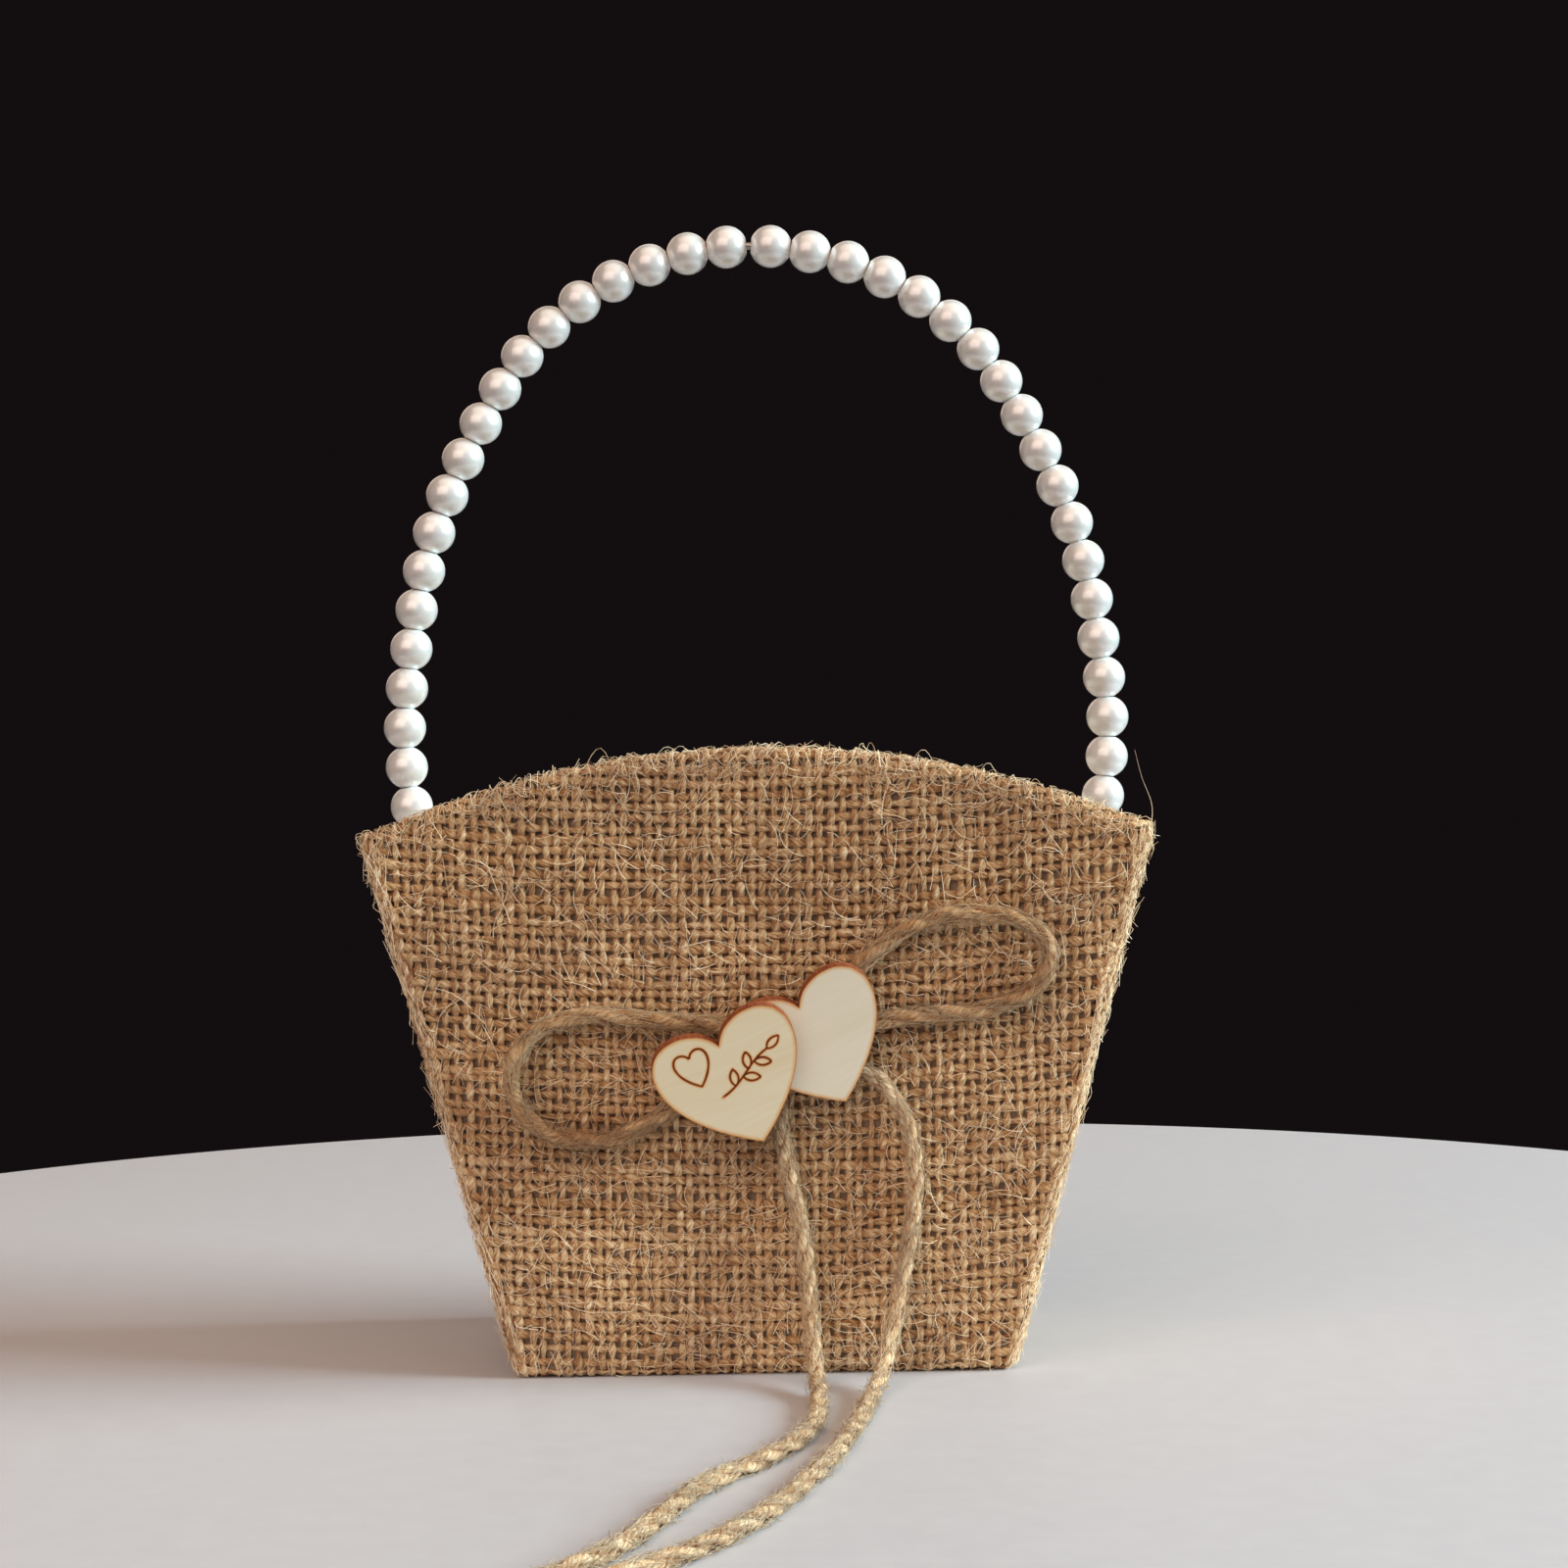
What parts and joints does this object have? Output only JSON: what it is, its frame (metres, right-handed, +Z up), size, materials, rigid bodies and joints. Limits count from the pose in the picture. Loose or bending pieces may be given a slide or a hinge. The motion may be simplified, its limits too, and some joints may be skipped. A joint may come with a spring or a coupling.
{
  "type": "flower girl basket",
  "caption": "Small flared burlap basket with a pearl-threaded wire handle that swings, and a twine bow with two wooden hearts on the front.",
  "frame": {"origin": "centre of the resting face under the basket", "axes": "+Z up, -Y out of the front face with the bow, +X to the right of someone who looks at the front"},
  "size_m": [0.1474, 0.2647, 0.2174],
  "materials": {
    "burlap": "open plain-weave jute, dry and hairy",
    "board": "plain grey-brown card",
    "lining": "off-white cotton, fine plain weave",
    "wire": "plain drawn wire",
    "eyelet": "pressed, slightly dull",
    "pearl": "pearlescent cream-white coating",
    "heart_wood": "bare laser-cut plywood, edges browned by the cut",
    "twine": "two-ply jute, hairy"
  },
  "bodies": {
    "basket": {"burlap_cover": "burlap", "burlap_base": "burlap", "front_board": "board", "back_board": "board", "side_board_left": "board", "side_board_right": "board", "base_board": "board", "lining": "lining", "eyelet_left": "eyelet", "eyelet_right": "eyelet", "bow_knot": "twine", "bow_loop_left": "twine", "bow_loop_right": "twine", "bow_tail_left": "twine", "bow_tail_right": "twine", "heart_front": "heart_wood", "heart_rear": "heart_wood"},
    "handle": {"handle_wire": "wire", "pearl_stop_left": "wire", "pearl_stop_right": "wire", "wire_ferrule_left": "wire", "wire_ferrule_right": "wire", "pearl_left_01": "pearl", "pearl_left_02": "pearl", "pearl_left_03": "pearl", "pearl_left_04": "pearl", "pearl_left_05": "pearl", "pearl_left_06": "pearl", "pearl_left_07": "pearl", "pearl_left_08": "pearl", "pearl_left_09": "pearl", "pearl_left_10": "pearl", "pearl_left_11": "pearl", "pearl_left_12": "pearl", "pearl_left_13": "pearl", "pearl_left_14": "pearl", "pearl_left_15": "pearl", "pearl_left_16": "pearl", "pearl_left_17": "pearl", "pearl_left_18": "pearl", "pearl_left_19": "pearl", "pearl_right_01": "pearl", "pearl_right_02": "pearl", "pearl_right_03": "pearl", "pearl_right_04": "pearl", "pearl_right_05": "pearl", "pearl_right_06": "pearl", "pearl_right_07": "pearl", "pearl_right_08": "pearl", "pearl_right_09": "pearl", "pearl_right_10": "pearl", "pearl_right_11": "pearl", "pearl_right_12": "pearl", "pearl_right_13": "pearl", "pearl_right_14": "pearl", "pearl_right_15": "pearl", "pearl_right_16": "pearl", "pearl_right_17": "pearl", "pearl_right_18": "pearl", "pearl_right_19": "pearl"}
  },
  "joints": [
    {"name": "handle_swing", "type": "hinge", "parent": "basket", "child": "handle", "pos_m": [0, 0, 0.0875], "axis": [1, 0, 0], "range_deg": [-50, 50]}
  ]
}
